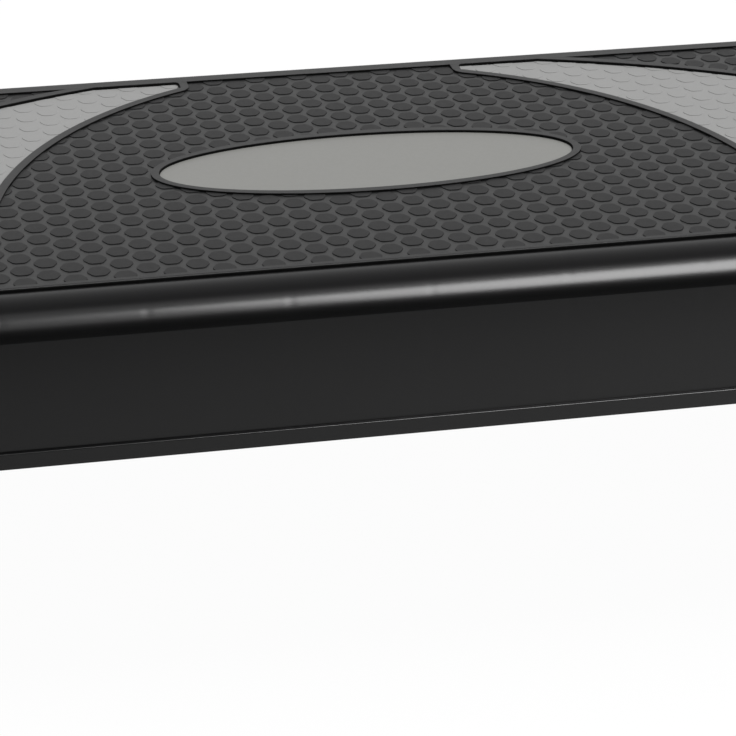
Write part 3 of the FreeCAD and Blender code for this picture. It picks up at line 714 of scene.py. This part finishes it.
def tread_rubber(finish, name, gloss):
    """The tread's matt black rubber; gloss is its specular level."""
    return surface(name, finish.rubber, roughness=0.46, gloss=gloss, mottle_scale=60.0, mottle_share=0.15,
                   rough_scale=400.0, rough_low=0.42, rough_high=0.52,
                   grain_scale=3000.0, grain_depth=0.00002, grain_strength=0.5)


def floor_rubber(finish):
    """The tread's rubber between the pads."""
    return tread_rubber(finish, "floor_rubber", gloss=0.322)


def band_rubber(finish):
    """The tread's rubber on the raised bands, a little duller."""
    return tread_rubber(finish, "band_rubber", gloss=0.28)


def pad_rubber(finish):
    """The tread's rubber on top of the pads, a little rougher."""
    return surface("pad_rubber", finish.rubber, roughness=0.6, gloss=0.28,
                   mottle_scale=60.0, mottle_share=0.15, rough_scale=400.0, rough_low=0.55, rough_high=0.66,
                   grain_scale=2400.0, grain_depth=0.00003, grain_strength=0.6)


def shade_painted_wall_rubber(finish):
    """A darker, duller copy of the tread rubber for the walls of the bands, hem and ring; its darker colour
    is painted shade that makes the walls read black.
    """
    return surface("shade_painted_wall_rubber", finish.wall, roughness=0.6, gloss=0.1, mottle_scale=60.0, mottle_share=0.15,
                   grain_scale=2400.0, grain_depth=0.00003, grain_strength=0.6)


def inlay_rubber(finish):
    """Grey rubber with a fine grain."""
    return surface("inlay_rubber", finish.inlay, roughness=0.6, gloss=0.35,
                   mottle_scale=45.0, mottle_share=0.03, rough_scale=300.0, rough_low=0.55, rough_high=0.68,
                   grain_scale=2600.0, grain_depth=0.00002, grain_strength=0.5)


def badge_plastic(finish):
    """Satin grey plate."""
    return surface("badge_plastic", finish.badge, roughness=0.42, gloss=0.4,
                   mottle_scale=25.0, mottle_share=0.02, rough_scale=500.0, rough_low=0.38, rough_high=0.48,
                   grain_scale=4200.0, grain_depth=0.00001, grain_strength=0.3)


def leg_plastic(finish):
    """Black plastic with a fine eroded grain."""
    return surface("leg_plastic", finish.leg, roughness=0.42, gloss=0.4, mottle_scale=18.0, mottle_share=0.12,
                   rough_scale=700.0, rough_low=0.36, rough_high=0.5,
                   grain_scale=1800.0, grain_depth=0.00004, grain_strength=0.5)


def foot_rubber(finish):
    """Matt grip rubber."""
    return surface("foot_rubber", finish.foot, roughness=0.7, gloss=0.35, mottle_scale=90.0, mottle_share=0.2,
                   rough_scale=500.0, rough_low=0.62, rough_high=0.8,
                   grain_scale=2400.0, grain_depth=0.00004, grain_strength=0.6)


def plated_steel(finish):
    """Zinc-plated steel with a fine grain."""
    return surface("plated_steel", finish.steel, roughness=0.3, metallic=1.0, mottle_scale=120.0,
                   mottle_share=0.12, rough_scale=900.0, rough_low=0.24, rough_high=0.4,
                   grain_scale=3000.0, grain_depth=0.00001, grain_strength=0.4)


def dress(node, material):
    """Gives a CAD node a new material."""
    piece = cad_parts[node]
    piece.data.materials.clear()
    piece.data.materials.append(material)


class STEP_OT_deck(bpy.types.Operator):
    """Finish the moulded shell of the deck"""
    bl_idname = "step.deck"
    bl_label = "Deck shell"

    def execute(self, context):
        dress("deck_shell", shell_plastic(context.scene.step_finish, context.scene.step_fittings))
        return {"FINISHED"}


def in_dark(plan, middle, slack):
    """Whether a pad's middle belongs to the right half of the dark field."""
    if middle.x < 0 or plan.badge_share(middle) < UNDER_BADGE_SHARE:
        return False
    if middle.y > plan.tip.y:
        return middle.x < plan.tip.x + slack
    return plan.past_dome(middle) < slack


def in_inlay(plan, middle, slack):
    """Whether a pad's middle belongs to the right inlay."""
    beside_dome = plan.past_dome(middle) > plan.sizes.dome_band - slack
    return middle.x > plan.tip.x and beside_dome and plan.past_sweep(middle) < slack


def in_corner(plan, middle, slack):
    """Whether a pad's middle belongs to the right back corner."""
    beside_sweep = plan.past_sweep(middle) > plan.sizes.outer_band - slack
    return middle.x > 0 and middle.y > -plan.sizes.sweep_end and beside_sweep


def fill_pads(mesh, plan, walls, side, low, high, belongs):
    """Fills a field on one side with pads cut at its walls, which are given for the right side."""
    sizes = plan.sizes
    columns = math.ceil(plan.half_x / sizes.column_pitch) + 1
    rows = math.ceil(plan.half_y / sizes.row_pitch) + 1
    start = plane_vector(*sizes.shift)
    whole = polygon_area(hexagon(plane_vector(0, 0), sizes.pad_radius, sizes.pad_corner))
    for column in range(-columns, columns + 1):
        lift = sizes.row_pitch / 2 if column % 2 else 0.0
        for row in range(-rows, rows + 1):
            place = start + plane_vector(column * sizes.column_pitch, row * sizes.row_pitch + lift)
            middle = plane_vector(side * place.x, place.y)
            if not belongs(plan, middle, sizes.pad_radius):
                continue
            points = hexagon(middle, sizes.pad_radius, sizes.pad_corner)
            points = without_doubles(cut_polygon(points, walls(middle)), sizes.pad_edge)
            if len(points) < 3 or polygon_area(points) < LEAST_PAD_SHARE * whole:
                continue
            if side < 0:
                points = flipped(reversed(points), side)
            add_pad(mesh, points, low, high, sizes.pad_edge)


class STEP_OT_tread(bpy.types.Operator):
    """Build the black rubber tread with its raised bands and hexagon pads"""
    bl_idname = "step.tread"
    bl_label = "Tread"

    def execute(self, context):
        plan = TreadPlan(context.scene.step_tread)
        self.mat(plan, context.scene.step_finish)
        self.pads(plan, context.scene.step_finish)
        return {"FINISHED"}

    def mat(self, plan, finish):
        """The mat: its floor, its raised bands, its outer hem and the ring round the badge."""
        sizes, seat, top = plan.sizes, MAT_LOW.z, MAT_HIGH.z
        under, gap = sizes.under_band, sizes.badge_gap
        # The walls of the bands, hem and ring get a darker copy of the rubber: painted shade.
        bands_and_shade_painted_walls = [band_rubber(finish), shade_painted_wall_rubber(finish)]
        wide = [flipped(plan.inlay_field(-under), side) for side in SIDES.values()]
        openings = [flipped(plan.inlay_field(), side) for side in SIDES.values()]
        corners = [flipped(plan.corner_field(), side) for side in SIDES.values()]
        floor = plate("tread_floor", [plan.mat(under), *wide, plan.badge(gap + under)], seat + sizes.pad_sink,
                      seat + sizes.floor_top, sizes.pad_edge, [floor_rubber(finish)])
        bands = plate("tread_bands", [plan.mat(sizes.hem_lap), plan.dark_field(), *openings, *corners],
                      seat, top, sizes.band_round, bands_and_shade_painted_walls)
        hem = plate("tread_hem", [plan.mat(), plan.mat(sizes.hem_width)], seat, top - sizes.hem_drop,
                    sizes.hem_round, bands_and_shade_painted_walls)
        ring = plate("tread_ring", [plan.badge(gap + sizes.ring), plan.badge(gap)], seat, top,
                     sizes.band_round, bands_and_shade_painted_walls)
        mat = joined("tread_mat_rubber", [floor, bands, hem, ring])
        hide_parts("tread_mat")
        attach(mat, "deck")

    def pads(self, plan, finish):
        """The hexagon pads of the dark middle and the back corners."""
        sizes = plan.sizes
        floor = MAT_LOW.z + sizes.floor_top
        low, high = floor - sizes.pad_sink, floor + sizes.pad_height
        mesh = bmesh.new()
        for side in SIDES.values():
            fill_pads(mesh, plan, plan.dark_walls, side, low, high, in_dark)
            fill_pads(mesh, plan, plan.corner_walls, side, low, high, in_corner)
        pads = finish_mesh("tread_pads", mesh, [pad_rubber(finish)])
        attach(pads, "deck")


class STEP_OT_inlays(bpy.types.Operator):
    """Build the two grey inlays of the tread with their low pads"""
    bl_idname = "step.inlays"
    bl_label = "Grey inlays"

    def execute(self, context):
        sizes = context.scene.step_tread
        plan = TreadPlan(sizes)
        rubber = inlay_rubber(context.scene.step_finish)
        floor = INLAY_LOW.z + sizes.inlay_floor
        for name, side in SIDES.items():
            outline = flipped(plan.inlay_field(sizes.inlay_gap), side)
            base = plate(f"{name}_inlay_floor", [outline], INLAY_LOW.z, floor, sizes.pad_edge, [rubber])
            mesh = bmesh.new()
            fill_pads(mesh, plan, plan.inlay_walls, side, floor - sizes.pad_sink, floor + sizes.inlay_pad,
                      in_inlay)
            pads = finish_mesh(f"{name}_inlay_pads", mesh, [rubber])
            inlay = joined(f"{name}_inlay_rubber", [base, pads])
            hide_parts(f"{name}_tread_inlay")
            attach(inlay, "deck")
        return {"FINISHED"}


class STEP_OT_badge(bpy.types.Operator):
    """Build the bare badge oval"""
    bl_idname = "step.badge"
    bl_label = "Badge oval"

    def execute(self, context):
        sizes = context.scene.step_tread
        plan = TreadPlan(sizes)
        badge = plate("badge_oval", [plan.badge()], BADGE_LOW.z, BADGE_LOW.z + sizes.badge_top,
                      sizes.badge_edge, [badge_plastic(context.scene.step_finish)])
        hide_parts("badge_plate")
        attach(badge, "deck")
        return {"FINISHED"}


class STEP_OT_legs(bpy.types.Operator):
    """Finish the two fold-over legs"""
    bl_idname = "step.legs"
    bl_label = "Legs"

    def execute(self, context):
        plastic = leg_plastic(context.scene.step_finish)
        for side in SIDES:
            dress(f"{side}_leg_frame", plastic)
        return {"FINISHED"}


def grip_profile(run, thickness, sizes):
    """Side view of a foot strip, from its seat outwards, with ribs across its outer face."""
    edge, groove = sizes.grip_edge, thickness - sizes.grip_depth
    count = int((run - 2 * edge - sizes.grip_root) / sizes.grip_pitch)
    first = (run - count * sizes.grip_pitch) / 2
    points = [plane_vector(0, 0), plane_vector(run, 0), plane_vector(run, groove - edge),
              plane_vector(run - edge, groove)]
    for rib in range(count, -1, -1):
        middle = first + rib * sizes.grip_pitch
        for half, height in ((sizes.grip_root / 2, groove), (sizes.grip_tip / 2, thickness)):
            points.append(plane_vector(middle + half, height))
        for half, height in ((sizes.grip_tip / 2, thickness), (sizes.grip_root / 2, groove)):
            points.append(plane_vector(middle - half, height))
    return points + [plane_vector(edge, groove), plane_vector(0, groove - edge)]


def ribbed_strip(name, low, high, way, sizes, rubber):
    """A foot strip that fills a box; way, 1 or -1, is how its ribs face along the box's thin axis."""
    spans = high - low
    thin, across, run = sorted(range(3), key=lambda axis: spans[axis])
    points = grip_profile(spans[run], spans[thin], sizes)
    seat = low[thin] if way > 0 else high[thin]
    edge = sizes.grip_edge
    mesh = bmesh.new()
    rings = []
    for step, drop in ((0, edge), (edge, 0), (spans[across] - edge, 0), (spans[across], edge)):
        ring = []
        for point in points:
            spot = Vector(low)
            spot[run] += point.x
            spot[across] += step
            spot[thin] = seat + way * max(0, point.y - (drop if point.y > 0 else 0))
            ring.append(mesh.verts.new(spot))
        rings.append(ring)
    bridge(mesh, rings)
    mesh.faces.new(rings[0])
    mesh.faces.new(rings[-1])
    bmesh.ops.recalc_face_normals(mesh, faces=mesh.faces)
    return finish_mesh(name, mesh, [rubber])


class STEP_OT_feet(bpy.types.Operator):
    """Build the ribbed rubber strips of the legs"""
    bl_idname = "step.feet"
    bl_label = "Foot strips"

    def execute(self, context):
        rubber = foot_rubber(context.scene.step_finish)
        for side in SIDES:
            leg_middle = sum(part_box(f"{side}_leg_frame"), Vector()) / 2
            for end in ENDS:
                for setting in SETTINGS:
                    node = f"{side}_{end}_{setting}_strip"
                    low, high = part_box(node)
                    away = (low + high) / 2 - leg_middle
                    outward = away.z if setting == "high" else away.x
                    grip = ribbed_strip(f"{side}_{end}_{setting}_grip", low, high,
                                        math.copysign(1, outward), context.scene.step_fittings, rubber)
                    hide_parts(node)
                    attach(grip, f"{side}_leg")
        return {"FINISHED"}


def lathe(name, profile, material):
    """A turned piece from a profile of radius and height, which starts and ends on its axis."""
    mesh = bmesh.new()
    turns = [math.tau * step / TURN_STEPS for step in range(TURN_STEPS)]
    first = mesh.verts.new((0, 0, profile[0][1]))
    last = mesh.verts.new((0, 0, profile[-1][1]))
    rings = [[mesh.verts.new((radius * math.cos(a), radius * math.sin(a), z)) for a in turns]
             for radius, z in profile[1:-1]]
    bridge(mesh, rings)
    for tip, ring in ((first, rings[0]), (last, rings[-1])):
        for a, b in zip(ring, onward(ring)):
            mesh.faces.new((tip, a, b))
    bmesh.ops.recalc_face_normals(mesh, faces=mesh.faces)
    return finish_mesh(name, mesh, [material])


def cross_recess(name, sizes):
    """The cutter of a screw's cross recess: two arms that narrow to their bottom, on the head's underside."""
    mesh = bmesh.new()
    for along in range(2):
        for vert in bmesh.ops.create_cube(mesh, size=2.0)["verts"]:
            vert.co[along] *= sizes.recess_reach * (RECESS_TAPER_SHARE if vert.co.z > 0 else 1.0)
            vert.co[1 - along] *= sizes.recess_width / 2
            vert.co.z *= sizes.recess_depth
    return finish_mesh(name, mesh, [])


def pan_head_screw(sizes, reach, steel):
    """The mesh of one screw with its head at the bottom, the crown of the head at height 0."""
    radius, height, shank = sizes.screw_head, sizes.screw_head_height, sizes.screw_shank
    point, tip = 2 * shank, shank / 4
    turns = [math.pi / 2 * step / CROWN_STEPS for step in range(1, CROWN_STEPS + 1)]
    crown = [(radius * math.sin(a), height / 2 * (1 - math.cos(a))) for a in turns]
    shaft = [(shank, height), (shank, reach - point), (tip, reach)]
    profile = [(0, 0), *crown, (radius, height), *shaft, (0, reach)]
    screw = lathe("screw", profile, steel)
    cutter = cross_recess("screw_recess", sizes)
    cut = screw.modifiers.new("recess", "BOOLEAN")
    cut.object, cut.operation, cut.solver, cut.use_self = cutter, "DIFFERENCE", "EXACT", True
    data = final_mesh(screw)
    bpy.data.objects.remove(cutter)
    return data


class STEP_OT_screws(bpy.types.Operator):
    """Build the screws that hold the hinge caps"""
    bl_idname = "step.screws"
    bl_label = "Cap screws"

    def execute(self, context):
        sizes = context.scene.step_fittings
        low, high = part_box("hinge_cap_screws")
        data = pan_head_screw(sizes, high.z - low.z, plated_steel(context.scene.step_finish))
        mesh = bmesh.new()
        for side in SIDES:
            for end in ENDS:
                cap = sum(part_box(f"{side}_{end}_hinge_cap"), Vector()) / 2
                for way in SIDES.values():
                    copy = data.copy()
                    copy.transform(Matrix.Translation((cap.x + way * sizes.screw_spread, cap.y, low.z)))
                    mesh.from_mesh(copy)
                    bpy.data.meshes.remove(copy)
        screws = finish_mesh("cap_screws", mesh, data.materials)
        bpy.data.meshes.remove(data)
        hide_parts("hinge_cap_screws")
        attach(screws, "deck")
        return {"FINISHED"}


class STEP_OT_hinges(bpy.types.Operator):
    """Finish the hinge rods and their caps"""
    bl_idname = "step.hinges"
    bl_label = "Hinges"

    def execute(self, context):
        finish = context.scene.step_finish
        steel, plastic = plated_steel(finish), leg_plastic(finish)
        for side in SIDES:
            dress(f"{side}_hinge_rod", steel)
            for end in ENDS:
                dress(f"{side}_{end}_hinge_cap", plastic)
        return {"FINISHED"}


def bare_tree(owner):
    """The emptied node tree of a material or a world."""
    owner.use_nodes = True
    owner.node_tree.nodes.clear()
    return owner.node_tree


def stage_sheet(name, low, high):
    """A rectangle of the stage between two opposite corners; returns it and its material's empty tree."""
    data = bpy.data.meshes.new(name)
    data.from_pydata([low, (high[0], *low[1:]), high, (low[0], *high[1:])], [], [(0, 1, 2, 3)])
    material = bpy.data.materials.new(name)
    data.materials.append(material)
    made = linked(name, data)
    return made, bare_tree(material)


def card(name, low, high, strength, fade):
    """A studio card that only reflections see; fade gives an axis and the strength at its far end."""
    made, tree = stage_sheet(name, low, high)
    if fade:
        axis, far_strength = fade
        run = "XYZ".index(axis)
        split = add_node(tree, "ShaderNodeSeparateXYZ", {"Vector": object_place(tree)})
        limits = {"Value": split.outputs[axis], "From Min": low[run], "From Max": high[run],
                  "To Min": strength, "To Max": far_strength}
        strength = add_node(tree, "ShaderNodeMapRange", limits).outputs["Result"]
    glow = feed(tree, "ShaderNodeEmission", WHITE, strength)
    add_node(tree, "ShaderNodeOutputMaterial", {"Surface": glow})
    made.visible_camera = False
    made.visible_diffuse = False
    made.visible_shadow = False
    made.visible_transmission = False


def seen_background(tree):
    """1 for rays that see the background itself: camera, glossy and transmission rays."""
    path = add_node(tree, "ShaderNodeLightPath").outputs
    seen = feed(tree, "ShaderNodeMath", path["Is Camera Ray"], path["Is Glossy Ray"], operation="MAXIMUM")
    return feed(tree, "ShaderNodeMath", seen, path["Is Transmission Ray"], operation="MAXIMUM")


class STEP_OT_stage(bpy.types.Operator):
    """Set up the camera, the floor, the lights and the background"""
    bl_idname = "step.stage"
    bl_label = "Stage"

    def execute(self, context):
        stage = context.scene.step_stage
        self.camera(context.scene, stage)
        self.floor()
        self.lights(stage)
        self.background(context.scene, stage)
        context.scene.view_settings.view_transform = "Standard"
        return {"FINISHED"}

    def camera(self, scene, stage):
        """The camera at the picture's angle."""
        level = math.cos(stage.tilt)
        forward = Vector((math.sin(stage.yaw) * level, math.cos(stage.yaw) * level, -math.sin(stage.tilt)))
        right = Vector((math.cos(stage.yaw), -math.sin(stage.yaw), 0))
        up = right.cross(forward)
        rolled = math.cos(stage.roll) * right + math.sin(stage.roll) * up
        upright = math.cos(stage.roll) * up - math.sin(stage.roll) * right
        data = bpy.data.cameras.new("camera")
        data.sensor_width = SENSOR
        data.lens = stage.focal / IMAGE_SIDE * SENSOR
        data.clip_start, data.clip_end = CLIP_START, CLIP_END
        made = linked("camera", data)
        turn = Matrix((rolled, upright, -forward)).transposed()
        made.matrix_world = Matrix.Translation(stage.eye) @ turn.to_4x4()
        scene.camera = made

    def floor(self):
        """A pale floor that keeps a faint shadow and is open from below."""
        _, tree = stage_sheet("floor", (-FLOOR_REACH, -FLOOR_REACH, 0), (FLOOR_REACH, FLOOR_REACH, 0))
        pale = feed(tree, "ShaderNodeBsdfDiffuse", FLOOR_COLOUR)
        white = feed(tree, "ShaderNodeEmission", WHITE, 1.0)
        seen = feed(tree, "ShaderNodeMath", seen_background(tree), FLOOR_WHITE_SHARE, operation="MULTIPLY")
        mix = feed(tree, "ShaderNodeMixShader", seen, pale, white)
        below = add_node(tree, "ShaderNodeNewGeometry").outputs["Backfacing"]
        one_way = feed(tree, "ShaderNodeMixShader", below, mix, feed(tree, "ShaderNodeBsdfTransparent"))
        add_node(tree, "ShaderNodeOutputMaterial", {"Surface": one_way})

    def lights(self, stage):
        """A key light from the right, softboxes for the shell and the mat's hem, and cards to reflect."""
        key = bpy.data.lights.new("key", "SUN")
        key.energy, key.angle = stage.key, KEY_SPREAD
        self.lamp("key", key, KEY_PLACE, KEY_AIM).visible_glossy = False
        shell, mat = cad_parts["deck_shell"], bpy.data.objects["tread_mat_rubber"]
        self.softbox("softbox", stage.softbox_power, SOFTBOX_SIZE, SOFTBOX_PLACE, shell)
        self.softbox("hem_light", stage.hem_power, HEM_LIGHT_SIZE, HEM_LIGHT_PLACE, mat)
        for name, (low, high, strength, fade) in CARDS.items():
            card(name, low, high, strength, fade)

    def softbox(self, name, watts, size, place, piece):
        """A softbox above the front edge, whose glint is kept to one piece."""
        data = bpy.data.lights.new(name, "AREA")
        data.shape = "RECTANGLE"
        data.size, data.size_y = size
        data.energy = watts
        made = self.lamp(name, data, place, BOX_AIM)
        made.visible_diffuse = False
        lit = bpy.data.collections.new(name + "_lit")
        lit.objects.link(piece)
        made.light_linking.receiver_collection = lit

    def lamp(self, name, data, place, aim):
        """Hangs a light at a place and turns it to what it lights."""
        made = linked(name, data)
        made.location = place
        made.rotation_euler = (Vector(aim) - Vector(place)).to_track_quat("-Z", "Y").to_euler()
        made.visible_camera = False
        return made

    def background(self, scene, stage):
        """White where the background is seen, and an even fill for the rest."""
        scene.world = bpy.data.worlds.new("studio")
        tree = bare_tree(scene.world)
        fill = feed(tree, "ShaderNodeBackground", WHITE, stage.sky)
        white = feed(tree, "ShaderNodeBackground", WHITE, 1.0)
        mix = feed(tree, "ShaderNodeMixShader", seen_background(tree), fill, white)
        add_node(tree, "ShaderNodeOutputWorld", {"Surface": mix})


class STEP_PT_builder(bpy.types.Panel):
    """Lists the operators that dress the step"""
    bl_label = "Exercise Step"
    bl_idname = "STEP_PT_builder"
    bl_space_type = "VIEW_3D"
    bl_region_type = "UI"
    bl_category = "Step"

    def draw(self, context):
        for operator in OPERATORS:
            self.layout.operator(operator.bl_idname)


GROUPS = {"step_tread": TreadSizes, "step_fittings": FittingSizes, "step_finish": StepFinish,
          "step_stage": StageSettings}
OPERATORS = (STEP_OT_deck, STEP_OT_tread, STEP_OT_inlays, STEP_OT_badge, STEP_OT_legs, STEP_OT_feet,
             STEP_OT_hinges, STEP_OT_screws, STEP_OT_stage)


def register():
    """Registers the settings, the operators and the panel."""
    for name, group in GROUPS.items():
        bpy.utils.register_class(group)
        setattr(bpy.types.Scene, name, PointerProperty(type=group))
    for made in (*OPERATORS, STEP_PT_builder):
        bpy.utils.register_class(made)


def unregister():
    """Takes the panel, the operators and the settings away again."""
    for made in reversed((*OPERATORS, STEP_PT_builder)):
        bpy.utils.unregister_class(made)
    for name, group in GROUPS.items():
        delattr(bpy.types.Scene, name)
        bpy.utils.unregister_class(group)


def main():
    """Dresses the frame."""
    register()
    bpy.ops.step.deck()
    bpy.ops.step.tread()
    bpy.ops.step.inlays()
    bpy.ops.step.badge()
    bpy.ops.step.legs()
    bpy.ops.step.feet()
    bpy.ops.step.hinges()
    bpy.ops.step.screws()
    bpy.ops.step.stage()


if __name__ == "__main__":
    main()
